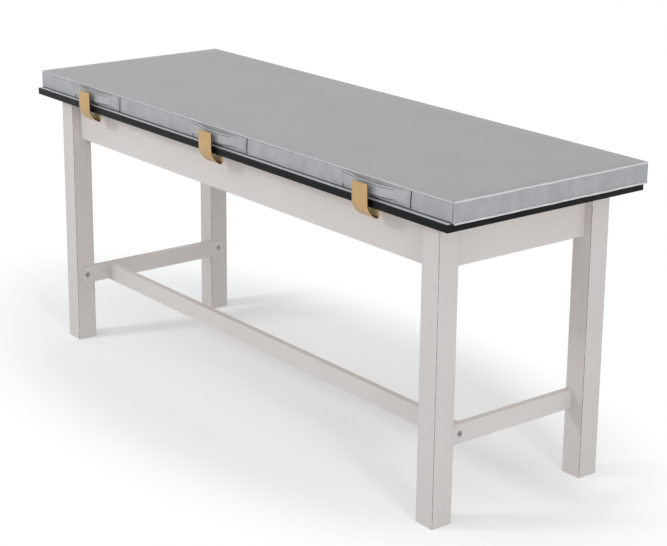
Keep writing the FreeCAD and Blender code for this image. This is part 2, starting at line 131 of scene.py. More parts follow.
# %% [markdown]
# ## Melamine laminate on the legs, aprons and braces
#
# The frame is faced with a warm grey melamine laminate: a paper printed with a colour and pressed under a
# clear resin with a matt texture. It reads as very even, with a weak sheen and, on the legs, faint upright
# streaks. Where two sheets meet at a long corner, the cut edge of each shows as a fine brown-grey line. Such a
# line could be modelled as a thin strip, but a pattern on Object coordinates puts it on every corner at once:
# it is drawn where a point lies close to the planes of both faces that meet there.

# %% Leg laminate with dark corner lines
near_leg_low, near_leg_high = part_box("leg_front_right")
LEG_OUT_X = near_leg_high[0]
LEG_OUT_Y = -near_leg_low[1]
LEG_SIDE = near_leg_high[0] - near_leg_low[0]
CORNER_LINE = 0.9 * MM


def near_plane(tree, along, planes, width):
    """1 where a coordinate's distance from the middle is within a width of one of two planes."""
    away = add(tree, "ShaderNodeMath", {"operation": "ABSOLUTE"}, _0=along).outputs[0]
    hits = [add(tree, "ShaderNodeMath", {"operation": "COMPARE"}, _0=away, _1=plane, _2=width).outputs[0]
            for plane in planes]
    return add(tree, "ShaderNodeMath", {"operation": "MAXIMUM"}, _0=hits[0], _1=hits[1]).outputs[0]


def laminate(name, pale, shade, line=None):
    material, tree, shader = new_finish(name, 0.42, IOR=1.5)
    clouds = scatter(tree, 260, 3)
    if line:
        # The streaks of the legs' print are about 3.5 mm wide and some 150 mm long.
        streaks = scatter(tree, 3.5, 2, (1, 1, 45))
        clouds = add(tree, "ShaderNodeMix", {"data_type": "FLOAT"}, _0=0.6, _2=clouds, _3=streaks).outputs[0]
    colour = shade_between(tree, clouds, shade, pale)
    if line:
        spot = add(tree, "ShaderNodeSeparateXYZ", Vector=add(tree, "ShaderNodeTexCoord").outputs["Object"])
        edge_x = near_plane(tree, spot.outputs[0], (LEG_OUT_X, LEG_OUT_X - LEG_SIDE), CORNER_LINE)
        edge_y = near_plane(tree, spot.outputs[1], (LEG_OUT_Y, LEG_OUT_Y - LEG_SIDE), CORNER_LINE)
        both = add(tree, "ShaderNodeMath", {"operation": "MULTIPLY"}, _0=edge_x, _1=edge_y).outputs[0]
        broken = add(tree, "ShaderNodeMapRange", Value=scatter(tree, 14, 2), From_Min=0.3, From_Max=0.55,
                     To_Min=0.35, To_Max=1.0).outputs[0]
        amount = add(tree, "ShaderNodeMath", {"operation": "MULTIPLY"}, _0=both, _1=broken).outputs[0]
        colour = add(tree, "ShaderNodeMix", {"data_type": "RGBA"}, _0=amount, _6=colour,
                     _7=linear(line)).outputs[2]
    tree.links.new(colour, shader.inputs["Base Color"])
    # The pressed texture is about 0.4 mm wide. It is drawn at 1.5 mm, so that it breaks up highlights here.
    fine = bumped(tree, shader, scatter(tree, 1.5, 2), 0.02)
    bumped(tree, shader, scatter(tree, 90, 2), 0.15, fine)
    return material


leg_laminate = laminate("melamine_laminate_warm_grey", "#D1CCC9", "#CBC5C3", "#6A5E58")
board_laminate = laminate("melamine_laminate_apron", "#D5D0CD", "#D0CAC7")
top_laminate = laminate("high_pressure_laminate_pale", "#D9DCE2", "#D2D6DD")
print("leg side and outer faces:", [round(v, 4) for v in (LEG_SIDE, LEG_OUT_X, LEG_OUT_Y)])

# %% [markdown]
# ## Edging, steel and raw wood
#
# The board's edge is an extruded black strip with a satin skin, lightly scuffed. The screws are zinc plated,
# which is a soft grey metal with a slightly uneven brightness. The blocks and cleats under the top are plain
# softwood: long pale fibres, and rings that show as bands along the grain.

# %% Edging, zinc and wood finishes
def edging_finish():
    material, tree, shader = new_finish("extruded_edging_satin_black", 0.5, IOR=1.4, Specular_IOR_Level=0.28)
    coloured(tree, shader, scatter(tree, 18, 3), "#09090A", "#101012")
    rough = add(tree, "ShaderNodeMapRange", Value=scatter(tree, 9, 3), To_Min=0.42, To_Max=0.6)
    tree.links.new(rough.outputs[0], shader.inputs["Roughness"])
    bumped(tree, shader, scatter(tree, 2.2, 2, (12, 12, 1)), 0.03)
    return material


def zinc_finish():
    material, tree, shader = new_finish("zinc_plated_steel", 0.33, Metallic=1.0)
    coloured(tree, shader, scatter(tree, 2.5, 2), "#A9A8A3", "#C6C5C0")
    return material


def wood_finish(name, pale, dark, along):
    """Planed wood. The fibres are drawn out along one axis."""
    material, tree, shader = new_finish(name, 0.62)
    stretch = [28 if i == along else 1 for i in range(3)]
    coloured(tree, shader, scatter(tree, 5, 4, stretch), dark, pale)
    bumped(tree, shader, scatter(tree, 1.2, 2, stretch), 0.05)
    return material


def chip_finish():
    """Raw particle board: flakes of wood a few millimetres long, pressed flat."""
    material, tree, shader = new_finish("particle_board", 0.75)
    coloured(tree, shader, scatter(tree, 3.5, 3), "#9C7F58", "#C9AD82")
    bumped(tree, shader, scatter(tree, 2.0, 2), 0.1)
    return material


black_edging = edging_finish()
zinc = zinc_finish()
softwood_x = wood_finish("planed_softwood_long", "#D8BC8C", "#BD9A68", 0)
softwood_z = wood_finish("planed_softwood_block", "#D3B685", "#B79362", 2)
particle_board = chip_finish()
print("plain finishes:", [m.name for m in (black_edging, zinc, softwood_x, softwood_z, particle_board)])

# %% [markdown]
# ## Tan coated hooks
#
# The hooks are strips bent from sheet and coated in tan. The coat shows fine streaks along the strip, as a
# brushed or wood-grain film does. The streaks are noise that is squeezed across the strip and drawn out along
# it. A second finish on the same piece paints shade, in dark brown, on the sheared edges and the strip's inner
# side, which lie in shadow behind the hook. It also paints a pale highlight on the tip, where the strip turns
# up under the board and catches the light.

# %% Hook finishes
# Where the strip's inner side turns up into the tip, the edge finish changes from painted shade to a painted
# highlight.
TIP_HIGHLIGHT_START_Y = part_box("hook_left")[0][1] + 33.5 * MM
TIP_HIGHLIGHT_END_Y = TIP_HIGHLIGHT_START_Y + 3 * MM


def hook_finish():
    material, tree, shader = new_finish("tan_streaked_coating", 0.4, IOR=1.5)
    streaks = scatter(tree, 1.8, 3, (1, 14, 22))
    clouds = scatter(tree, 16, 2, (1, 2, 3))
    mixed = add(tree, "ShaderNodeMath", {"operation": "MULTIPLY_ADD"}, _0=clouds, _1=0.4,
                _2=streaks).outputs[0]
    coloured(tree, shader, mixed, "#B4905E", "#CBAA74", 0.45, 0.95)
    bumped(tree, shader, streaks, 0.06)
    return material


def painted_shade_edge_finish():
    """The strip's cut edge and inner side: painted shade in dark brown, and a pale painted highlight on the
    tip.
    """
    material, tree, shader = new_finish("tan_coating_painted_edge_shade", 0.45)
    # Painted shade in dark brown. Towards the tip it gives way to a pale painted highlight.
    brown = shade_between(tree, scatter(tree, 6, 3), "#4E351C", "#6E4D2A")
    spot = add(tree, "ShaderNodeSeparateXYZ", Vector=add(tree, "ShaderNodeTexCoord").outputs["Object"])
    rear = add(tree, "ShaderNodeMapRange", Value=spot.outputs[1], From_Min=TIP_HIGHLIGHT_START_Y,
               From_Max=TIP_HIGHLIGHT_END_Y).outputs[0]
    colour = add(tree, "ShaderNodeMix", {"data_type": "RGBA"}, _0=rear, _6=brown,
                 _7=linear("#E9D7A6")).outputs[2]
    tree.links.new(colour, shader.inputs["Base Color"])
    return material


tan_coating = hook_finish()
edge_shade_tip_highlight = painted_shade_edge_finish()
print("hook coats:", tan_coating.name, edge_shade_tip_highlight.name)

# %% [markdown]
# ## Vinyl for the pad
#
# The cover is PVC-coated fabric, a soft sheet with a fine leather-like emboss and a dull gloss. Several sizes
# of relief make it look right: the emboss itself, about a millimetre across and drawn at 1.6 mm, upright folds
# of 28 mm where the sides hang slack, long shallow pleats, and the broad dents that a hand leaves in foam. The
# slack sides also get a painted shade of their folds. The handles are the same sheet folded to a strap. The
# seam edges are a paler sheet in two strengths, a painted highlight where they catch the light.
# The dark lines of seams and grooves and the grey thread are dull finishes of one tone each.

# %% Vinyl finishes
PAD_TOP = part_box("pad_top_panel")[1][2]


def vinyl(name, pale, shade, ripple_mm):
    material, tree, shader = new_finish(name, 0.46, IOR=1.5)
    where = add(tree, "ShaderNodeTexCoord").outputs["Object"]
    emboss = add(tree, "ShaderNodeTexVoronoi", {"feature": "DISTANCE_TO_EDGE"}, Vector=where,
                 Scale=1 / (1.6 * MM)).outputs["Distance"]
    grain = bumped(tree, shader, emboss, 0.05)
    # Upright folds show on the sides, and only faintly on the flat top.
    level = add(tree, "ShaderNodeSeparateXYZ", Vector=where).outputs[2]
    share = add(tree, "ShaderNodeMapRange", Value=level, From_Min=PAD_TOP - 6.3 * MM,
                From_Max=PAD_TOP - 0.8 * MM, To_Min=1.0, To_Max=0.2).outputs[0]
    upright = scatter(tree, 28, 2, (1, 1, 2.4))
    folds = add(tree, "ShaderNodeMath", {"operation": "MULTIPLY"}, _0=upright, _1=share)
    slack = bumped(tree, shader, folds.outputs[0], ripple_mm, grain)
    # Painted shade of the slack folds: on the sides the fabric is a little darker and paler by turns.
    # The top mostly gets a calmer tone that varies at random.
    broad = scatter(tree, 160, 3)
    calm = add(tree, "ShaderNodeMath", {"operation": "MULTIPLY_ADD"}, _0=broad, _1=0.5, _2=0.25)
    clouds = add(tree, "ShaderNodeMix", {"data_type": "FLOAT"}, _0=share, _2=calm.outputs[0],
                 _3=scatter(tree, 34, 2, (1, 1, 1.6))).outputs[0]
    coloured(tree, shader, clouds, shade, pale)
    pleats = bumped(tree, shader, scatter(tree, 6, 2, (10, 1.8, 10), (0.3, 0.1, 0)), ripple_mm * 0.2, slack)
    bumped(tree, shader, scatter(tree, 170, 2), 1.2, pleats)
    return material


def dull_finish(name, roughness, blotch_mm, dark, pale):
    """A dull finish of one tone that varies a little."""
    material, tree, shader = new_finish(name, roughness)
    coloured(tree, shader, scatter(tree, blotch_mm, 2), dark, pale)
    return material


pad_vinyl = vinyl("pvc_coated_fabric_grey", "#ABABAD", "#9F9FA2", 6.0)
strap_vinyl = vinyl("pvc_coated_strap", "#ADADAF", "#A5A5A8", 0.12)
# Painted highlights: these finishes are paler than the pad where rounded edges catch the light. The brighter
# one is for the right end.
seam_highlight_pale = vinyl("pvc_painted_highlight", "#C6C6C8", "#B6B6B9", 0.1)
seam_highlight_bright = vinyl("pvc_painted_highlight_bright", "#DCDCDD", "#CACACC", 0.1)
seam_shadow = dull_finish("stitched_seam_shadow", 0.8, 3, "#2E2E33", "#48484D")
groove_shadow = dull_finish("seam_groove_shadow", 0.8, 6, "#6E6E72", "#85858A")
grey_thread = dull_finish("polyester_thread", 0.7, 0.8, "#8E8E92", "#A2A2A6")
print("pad finishes:", [m.name for m in (pad_vinyl, strap_vinyl, seam_highlight_pale, seam_highlight_bright, seam_shadow,
                                         groove_shadow, grey_thread)])

# %% [markdown]
# ## Finishes on the CAD nodes
#
# Each CAD node keeps its shape and gets the finish of what it is made of.

# %% Give each node its finish
NODE_FINISH = {
    "leg_": leg_laminate, "apron_": board_laminate, "left_end_brace": board_laminate,
    "right_end_brace": board_laminate, "long_brace": board_laminate, "top_core": particle_board,
    "top_laminate": top_laminate, "edge_band_": black_edging, "corner_block_": softwood_z,
    "cleat_": softwood_x, "apron_dowels": softwood_x, "brace_dowels": softwood_x, "corner_bolts": zinc,
    "corner_washers": zinc, "top_screws": zinc, "brace_leg_screws": zinc, "beam_screws": zinc,
    "hook_screws": zinc, "hook_": tan_coating, "pad_": pad_vinyl,
}


def dress(obj, material):
    obj.data.materials.clear()
    obj.data.materials.append(material)


for name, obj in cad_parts.items():
    prefix = next(p for p in sorted(NODE_FINISH, key=len, reverse=True) if name.startswith(p))
    dress(obj, NODE_FINISH[prefix])
print("dressed", len(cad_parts), "nodes")

# %% [markdown]
# ## Making a piece from a bmesh
#
# A finished piece is an object at the origin with its place in its mesh. This helper turns a bmesh into such
# an object, gives it its finish and lets it ride on a body of the frame.

# %% Piece helper
def piece(name, shape, material, body, smooth=True):
    mesh = bpy.data.meshes.new(name)
    shape.to_mesh(mesh)
    shape.free()
    obj = bpy.data.objects.new(name, mesh)
    bpy.context.scene.collection.objects.link(obj)
    mesh.materials.append(material)
    for face in mesh.polygons:
        face.use_smooth = smooth
    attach(obj, body)
    return obj


def block(low, high):
    """A bmesh block between two corners."""
    shape = bmesh.new()
    bmesh.ops.create_cube(shape, size=1.0)
    size = [h - l for l, h in zip(low, high)]
    bmesh.ops.scale(shape, vec=size, verts=shape.verts)
    bmesh.ops.translate(shape, vec=[(h + l) / 2 for l, h in zip(low, high)], verts=shape.verts)
    return shape


def ease(shape, edges, width, segments=3):
    bmesh.ops.bevel(shape, geom=edges, offset=width, segments=segments, profile=0.5, affect="EDGES",
                    material=-1)


print("piece helper ready")

# %% [markdown]
# ## Black edging with eased arrises
#
# The CAD bands have sharp edges. A real extruded edging is trimmed and scraped to a small radius, and that
# radius catches a thin line of light along the whole table, so it is worth modelling. Each band is a block
# with all its edges bevelled. At the corners the two strips butt, which shows as a fine upright line.

# %% Bands with eased edges
ARRIS = 0.7 * MM


def eased_band(side):
    low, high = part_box("edge_band_" + side)
    shape = block(low, high)
    ease(shape, shape.edges[:], ARRIS)
    band = piece("edging_" + side, shape, black_edging, "table")
    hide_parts("edge_band_" + side)
    return band


bands = [eased_band(side) for side in ("front", "back", "left", "right")]
print("edging pieces:", [b.name for b in bands])

# %% [markdown]
# ## Hooks bent from strip
#
# Each hook is a J of flat strip: an upright front, a long sweep in below the board's edge, a tight turn up and
# a foot under the board. The middle line of the strip is a short list of points whose corners are cut twice,
# so the bends are smooth. It is extruded across the hook's width. Solidify gives it an even thickness and puts
# the second finish, painted shade with a painted highlight on the tip, on the rim and the inner side. A bevel
# softens the sheared edges.

# %% Model the hooks
HOOK_THICK = 3 * MM
HOOK_DEEP = 40 * MM
BOARD_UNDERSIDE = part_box("top_core")[0][2]
SIDES = ("left", "middle", "right")


def hook_profile(low, high):
    """The hook's middle line in the YZ plane, from the front's top to the foot's end."""
    half = HOOK_THICK / 2
    drop = BOARD_UNDERSIDE - low[2]
    # The sweep's outer side, as shares of the hook's depth and drop, and the way from there into the strip.
    share = [(0, 1.53), (0.012, 1.25), (0.06, 0.95), (0.2, 0.62), (0.38, 0.33), (0.58, 0.11), (0.78, 0.0),
             (0.92, 0.08), (1.0, 0.28)]
    inward = [(1, 0), (1, 0.05), (0.96, 0.3), (0.84, 0.54), (0.68, 0.74), (0.4, 0.92), (0, 1), (-0.7, 0.72),
              (-1, 0.2)]
    line = [(low[1] + y * HOOK_DEEP + i * half, low[2] + z * drop + j * half)
            for (y, z), (i, j) in zip(share, inward)]
    under = BOARD_UNDERSIDE - half
    rear = low[1] + HOOK_DEEP - half
    foot = [(rear, under - 1 * MM), (rear + 1 * MM, under), (high[1], under)]
    return [(low[1] + half, high[2])] + line + foot


def rounder(points, times):
    """Cuts the corners of an open line, which keeps its two ends."""
    for _ in range(times):
        cut = [points[0]]
        for a, b in zip(points, points[1:]):
            cut.append(tuple(0.75 * p + 0.25 * q for p, q in zip(a, b)))
            cut.append(tuple(0.25 * p + 0.75 * q for p, q in zip(a, b)))
        points = cut + [points[-1]]
    return points


def model_hook(side):
    low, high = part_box("hook_" + side)
    shape = bmesh.new()
    line = [shape.verts.new((low[0], y, z)) for y, z in rounder(hook_profile(low, high), 2)]
    edges = [shape.edges.new(pair) for pair in zip(line, line[1:])]
    grown = bmesh.ops.extrude_edge_only(shape, edges=edges)
    across = [g for g in grown["geom"] if isinstance(g, bmesh.types.BMVert)]
    bmesh.ops.translate(shape, vec=(high[0] - low[0], 0, 0), verts=across)
    bmesh.ops.recalc_face_normals(shape, faces=shape.faces)
    hook = piece("bent_hook_" + side, shape, tan_coating, "table")
    # The second finish paints shade on the rim and the inner side, and a highlight on the tip.
    hook.data.materials.append(edge_shade_tip_highlight)
    wall = hook.modifiers.new("thickness", "SOLIDIFY")
    wall.material_offset = wall.material_offset_rim = 1
    wall.thickness = HOOK_THICK
    wall.offset = 0
    wall.use_even_offset = True
    soften = hook.modifiers.new("sheared_edges", "BEVEL")
    soften.width = 0.5 * MM
    soften.segments = 2
    soften.limit_method = "ANGLE"
    soften.angle_limit = math.radians(60)
    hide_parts("hook_" + side)
    return hook


hooks = [model_hook(side) for side in SIDES]

# %% [markdown]
# ## The pad's shape before it is stuffed
#
# The pad is a foam slab in a tight cover. Its start shape is a block a little smaller than the finished pad,
# cut into even strips by planes. Extra cuts close to the rims keep those edges crisp when the mesh is
# smoothed. The upright corners are drawn in slightly, as a sewn corner is.

# %% Cut the pad's block into a net
RIM_CUT = 3.5 * MM
CORNER_TUCK = 1.6 * MM
SAME = 1e-5


def pad_block(low, high, cell):
    shape = block(low, high)
    for axis, count in ((0, round((high[0] - low[0]) / cell)), (1, round((high[1] - low[1]) / cell)), (2, 3)):
        normal = [0.0, 0.0, 0.0]
        normal[axis] = 1.0
        for spot in np.linspace(low[axis] + RIM_CUT, high[axis] - RIM_CUT, count + 1):
            point = [0.0, 0.0, 0.0]
            point[axis] = spot
            bmesh.ops.bisect_plane(shape, geom=shape.verts[:] + shape.edges[:] + shape.faces[:],
                                   plane_co=point, plane_no=normal)
    for v in shape.verts:
        for axis, other in ((0, 1), (1, 0)):
            if min(abs(v.co[axis] - low[axis]), abs(v.co[axis] - high[axis])) < SAME:
                near = min(abs(v.co[other] - low[other]), abs(v.co[other] - high[other]))
                if near < SAME:
                    middle = (low[axis] + high[axis]) / 2
                    v.co[axis] += math.copysign(CORNER_TUCK, middle - v.co[axis])
    return shape


pad_low = Vector(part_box("pad_bottom_panel")[0])
pad_high = Vector(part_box("pad_top_panel")[1])
start_low = pad_low + Vector((2.5 * MM, 1.5 * MM, 0.2 * MM))
start_high = pad_high - Vector((2.5 * MM, 2.5 * MM, 2.2 * MM))
cell_size = 12.5 * MM
pad_shape = pad_block(start_low, start_high, cell_size)
print("pad net:", len(pad_shape.verts), "points; pad", [round(v, 4) for v in pad_high - pad_low])

# %% [markdown]
# ## Stuff the pad with a cloth simulation
#
# Cloth under a little inside pressure gives the slight crown of the top, the fuller sides and the soft
# tension lines towards the seams. The underside lies on the table, so it is pinned, and the rims are pinned
# as well, because a sewn seam holds them. A point may move at most a few millimetres.

# %% Simulate the pad
STEPS = 20
SWELL_LIMIT = 4.5 * MM
pad = piece("pad_cover", pad_shape, pad_vinyl, "pad")
rest_points = np.array([v.co[:] for v in pad.data.vertices])


def on_rim(p):
    """True on the top and bottom seams, where the cover's panels are sewn together."""
    side = (min(abs(p[0] - start_low[0]), abs(p[0] - start_high[0])) < 2 * MM
            or min(abs(p[1] - start_low[1]), abs(p[1] - start_high[1])) < 2 * MM)
    flat = min(abs(p[2] - start_low[2]), abs(p[2] - start_high[2])) < SAME
    return side and flat


held = pad.vertex_groups.new(name="held")
pinned = [i for i, p in enumerate(rest_points) if on_rim(p) or abs(p[2] - start_low[2]) < SAME]
held.add(pinned, 1.0, "REPLACE")
cloth = pad.modifiers.new("stuffing", "CLOTH")
cloth.settings.quality = 5
cloth.settings.mass = 0.4
cloth.settings.tension_stiffness = 12
cloth.settings.compression_stiffness = 12
cloth.settings.bending_stiffness = 1.5
cloth.settings.use_pressure = True
cloth.settings.uniform_pressure_force = 4
cloth.settings.shrink_min = -0.006
cloth.settings.vertex_group_mass = "held"
cloth.settings.effector_weights.gravity = 0
cloth.point_cache.frame_start = 1
cloth.point_cache.frame_end = STEPS
for number in range(1, STEPS + 1):
    bpy.context.scene.frame_set(number)
posed = pad.evaluated_get(bpy.context.evaluated_depsgraph_get()).data
moved = np.array([v.co[:] for v in posed.vertices])
pad.modifiers.remove(cloth)
bpy.context.scene.frame_set(1)
step = moved - rest_points
length = np.linalg.norm(step, axis=1)
print("stuffing moved points by up to", round(float(length.max()) * 1000, 2), "mm")
# A smooth limit keeps the folds of the sheet, where a hard one would flatten them.
step *= (SWELL_LIMIT * np.tanh(length / SWELL_LIMIT) / np.maximum(length, 1e-9))[:, None]
for v, p in zip(pad.data.vertices, rest_points + step):
    v.co = p
finer = pad.modifiers.new("finer", "SUBSURF")
finer.levels = finer.render_levels = 1
smooth_mesh = bpy.data.meshes.new_from_object(pad.evaluated_get(bpy.context.evaluated_depsgraph_get()))
pad.modifiers.remove(finer)
pad.data = smooth_mesh
pad.data.name = "pad_cover"
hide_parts("pad_top_panel", "pad_bottom_panel", "pad_side_strip")
print("pad has", len(pad.data.polygons), "faces")

# %% [markdown]
# ## Feel for the pad's surface
#
# Sewn-on pieces follow the pad's own side. A search tree finds where a straight line meets the pad, so a
# patch or a seam can be laid on the surface after it has swelled. A seam is a thin tube: a curve with a round
# bevel is the short way to it, and it is made a mesh at once.

# %% Find points on the pad, and lay a tube
WELL_IN_FRONT = -0.5
pad_tree = BVHTree.FromPolygons([v.co for v in pad.data.vertices], [p.vertices[:] for p in pad.data.polygons])


def front_of_pad(x, z):
    """The y of the pad's front side at a place."""
    hit = pad_tree.ray_cast(Vector((x, WELL_IN_FRONT, z)), Vector((0, 1, 0)))[0]
    return hit.y if hit else start_low.y


def tube(name, points, radius, material, closed=False, body="pad"):
    """A thin round tube along points, made a mesh."""
    curve = bpy.data.curves.new(name, "CURVE")
    curve.dimensions = "3D"
    line = curve.splines.new("POLY")
    line.points.add(len(points) - 1)
    for spot, p in zip(line.points, points):
        spot.co = (*p, 1)
    line.use_cyclic_u = closed
    curve.bevel_depth = radius
    curve.bevel_resolution = 2
    curve.use_fill_caps = not closed
    holder = bpy.data.objects.new(name, curve)
    bpy.context.scene.collection.objects.link(holder)
    mesh = bpy.data.meshes.new_from_object(holder.evaluated_get(bpy.context.evaluated_depsgraph_get()))
    bpy.data.objects.remove(holder)
    mesh.materials.clear()
    mesh.materials.append(material)
    for face in mesh.polygons:
        face.use_smooth = True
    obj = bpy.data.objects.new(name, mesh)
    bpy.context.scene.collection.objects.link(obj)
    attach(obj, body)
    return obj


print("front side at the middle:", round(front_of_pad(0, 0.79), 4))

# %% [markdown]
# ## Seam edges round the top and the bottom
#
# Where the top panel is sewn to the side strip, the two layers stand up as a narrow rounded ridge that
# catches a pale line of light, with a groove below it. A tube of a small radius along the rim, sunk halfway
# into the pad, gives that ridge, with the pale line as a painted highlight. A finer one in grey paints the
# groove's shade. Both waver slightly, as a sewn edge does. At the front, the bottom seam lies in the dark gap
# between the pad and the board, so only the gap's shadow is painted, as a dark tube.

# %% Seam ridges and grooves
def rim_line(z, inset, waver):
    """A closed line round the pad at a height, with rounded corners."""
    low = start_low + Vector((inset, inset, 0))
    high = start_high - Vector((inset, inset, 0))
    turn = 5 * MM
    points = []
    for cx, cy, start in ((high.x - turn, high.y - turn, 0), (low.x + turn, high.y - turn, 90),
                          (low.x + turn, low.y + turn, 180), (high.x - turn, low.y + turn, 270)):
        for a in (0, 30, 60, 90):
            angle = math.radians(start + a)
            points.append(Vector((cx + turn * math.cos(angle), cy + turn * math.sin(angle), z)))
    line = []
    for a, b in zip(points, points[1:] + points[:1]):
        count = max(1, round((b - a).length / 0.012))
        line += [a.lerp(b, i / count) for i in range(count)]
    for i, p in enumerate(line):
        p.z += waver * (math.sin(i * 0.37) + 0.6 * math.sin(i * 0.83 + 1) + 0.4 * math.sin(i * 1.71 + 2))
    return line


# The ridge's paler finish is a painted highlight.
ridge_line = rim_line(start_high.z - 0.9 * MM, 1.1 * MM, 0.3 * MM)
tube("seam_ridge_top", ridge_line, 2.5 * MM, seam_highlight_pale, closed=True)
# The grey groove tube paints the groove's shade.
groove_line = rim_line(start_high.z - 3.0 * MM, -0.2 * MM, 0.2 * MM)
tube("seam_groove_shade_top", groove_line, 0.7 * MM, groove_shadow, closed=True)
# A dark tube paints the shadow in the gap under the pad's front.
gap_line = [Vector((x, start_low.y - 0.4 * MM, start_low.z + 1.6 * MM + 0.3 * MM * math.sin(x * 37)))
            for x in np.linspace(start_low.x + 4 * MM, start_high.x - 2 * MM, 150)]
tube("bottom_gap_painted_shadow", gap_line, 1.2 * MM, seam_shadow)
print("ridge points:", len(ridge_line))

# %% [markdown]
# ## Seam edges of the right end
#
# At the right end the cover hangs over the board by a few millimetres. Both its seam edges catch the light
# there, and their nearly white finish is a painted highlight. The lower one droops past the board's face. Each
# is a straight tube along the end, with a small waver of its own.

# %% Bright seam edges at the right end
END_GAP = 3 * MM


def end_seam(name, z, out, radius):
    x = pad_high.x + out
    reach = start_high.y - start_low.y - 2 * END_GAP
    line = [Vector((x, start_low.y + END_GAP + t * reach,
                    z + 0.3 * MM * math.sin(t * 23) + 0.2 * MM * math.sin(t * 61)))
            for t in np.linspace(0, 1, 60)]
    # The nearly white finish is a painted highlight.
    return tube(name, line, radius, seam_highlight_bright)


end_seams = [end_seam("seam_ridge_right_end", start_high.z - 0.2 * MM, -2.3 * MM, 2.4 * MM),
             end_seam("seam_lip_right_end", pad_low.z - 0.9 * MM, 0.2 * MM, 2.6 * MM)]
print("bright seams:", [e.name for e in end_seams])

# %% [markdown]
# ## Upright seams and patches
#
# Each handle is sewn into the side strip between two upright seams, which show as dark lines the full height
# of the side. To the right of each handle its folded end lies under a patch about 50 mm wide. The seams are
# thin dark tubes pressed into the side, and the patch is a net laid on the pad's surface and given a
# thickness.

# %% Upright seams and patches
HANDLE_BOX = {side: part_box("pad_handle_" + side) for side in SIDES}
PATCH_WIDE = 50 * MM
side_low = pad_low.z + 4 * MM
side_high = pad_high.z - 5 * MM


def upright_seam(name, x, lean):
    points = []
    for i in range(13):
        t = i / 12
        z = side_low + (side_high - side_low) * t
        across = x + lean * (t - 0.5) + 0.5 * MM * math.sin(3 * t)
        points.append((across, front_of_pad(across, z) - 0.5 * MM, z))
    return tube(name, points, 1.2 * MM, seam_shadow)


def patch(name, x_low, x_high, z_low, z_high, proud):
    shape = bmesh.new()
    bmesh.ops.create_grid(shape, x_segments=14, y_segments=12, size=0.5)
    for v in shape.verts:
        x = x_low + (v.co.x + 0.5) * (x_high - x_low)
        z = z_low + (v.co.y + 0.5) * (z_high - z_low)
        v.co = (x, front_of_pad(x, z) - proud / 2, z)
    bmesh.ops.recalc_face_normals(shape, faces=shape.faces)
    made = piece(name, shape, pad_vinyl, "pad")
    wall = made.modifiers.new("layer", "SOLIDIFY")
    wall.thickness = proud
    wall.offset = 0
    return made


seams = []
patches = []
for side in SIDES:
    low, high = HANDLE_BOX[side]
    seams.append(upright_seam("upright_seam_left_" + side, low[0], -1.5 * MM))
    seams.append(upright_seam("upright_seam_right_" + side, high[0], 2 * MM))
    patches.append(patch("handle_patch_" + side, high[0] - PATCH_WIDE, high[0] - 0.8 * MM, side_low + 1 * MM,
                         side_high - 1 * MM, 1.2 * MM))
print("seams", len(seams), "patches", len(patches))

# %% [markdown]
# ## Sewn handles
#
# A handle is a flat strap of folded vinyl. It leaves the side at its left seam, bows out just behind the
# hook and comes back at the patch. It is modelled as a net that follows a smooth bow, thickened to the strap's
# size with rounded edges. Near its ends it lies on the pad. One function gives a place on the strap, and the
# net, the fold, the line of stitches and the painted shadow line all use it.

# %% Model the handles
STRAP = 2.3 * MM
BOW_BACK = 12 * MM


def bow(t):
    """How far the strap stands out, from 0 at its ends to 1 in its middle."""
    rise = min(1.0, max(0.0, (t - 0.06) / 0.27))
    fall = min(1.0, max(0.0, (0.86 - t) / 0.27))
    smooth = [r * r * (3 - 2 * r) for r in (rise, fall)]
    return smooth[0] * smooth[1]


def on_strap(side, t, u, proud=0.0):
    """A place on the strap: t runs from its left end to its right one, and u from its bottom to its top."""
    low, high = HANDLE_BOX[side]
    x = low[0] + 1 * MM + t * (high[0] - low[0] - 12 * MM)
    z = low[2] + 1.5 * MM + u * (high[2] - low[2] - 1.5 * MM) + 4 * MM * (1 - t) ** 3 * u
    b = bow(t)
    on_side = front_of_pad(x, z) - STRAP / 2 - 0.2 * MM
    out = low[1] + STRAP / 2 + BOW_BACK
    cup = 0.8 * MM * b * (2 * u - 1) ** 2
    return Vector((x, on_side * (1 - b) + out * b + cup - proud, z - 1.2 * MM * math.sin(math.pi * t) * b))


def handle_net(side):
    shape = bmesh.new()
    bmesh.ops.create_grid(shape, x_segments=64, y_segments=6, size=0.5)
    for v in shape.verts:
        v.co = on_strap(side, v.co.x + 0.5, v.co.y + 0.5)
    bmesh.ops.recalc_face_normals(shape, faces=shape.faces)
    return shape


def model_handle(side):
    handle = piece("sewn_handle_" + side, handle_net(side), strap_vinyl, "pad")
    wall = handle.modifiers.new("strap", "SOLIDIFY")
    wall.thickness = STRAP
    wall.offset = 0
    soft = handle.modifiers.new("folded_edges", "BEVEL")
    soft.width = 0.9 * MM
    soft.segments = 3
    soft.limit_method = "ANGLE"
    soft.angle_limit = math.radians(50)
    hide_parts("pad_handle_" + side)
    return handle


handles = [model_handle(side) for side in SIDES]
print("handles bow out to y", [round(min(v.co.y for v in h.data.vertices), 4) for h in handles])

# %% [markdown]
# ## Folds, stitches and patch edges
#
# The strap's top edge is a fold that catches the light, drawn with a painted highlight. A dark line of
# stitches runs just below it, and a painted shadow line runs along the strap's bottom edge. The patch casts a
# thin shadow at its left edge. Rows of short threads hold the strap's two ends. The long lines are fine tubes,
# and each short thread is a stretched ball, which is small enough for its shape not to show.

# %% Folds and stitches
def strap_line(name, side, start, stop, u, radius, material):
    """A fold, a line of stitches or a painted shadow line along a strap."""
    points = [on_strap(side, t, u, STRAP / 2 + 0.1 * MM) for t in np.linspace(start, stop, 40)]
    return tube(name, points, radius, material)


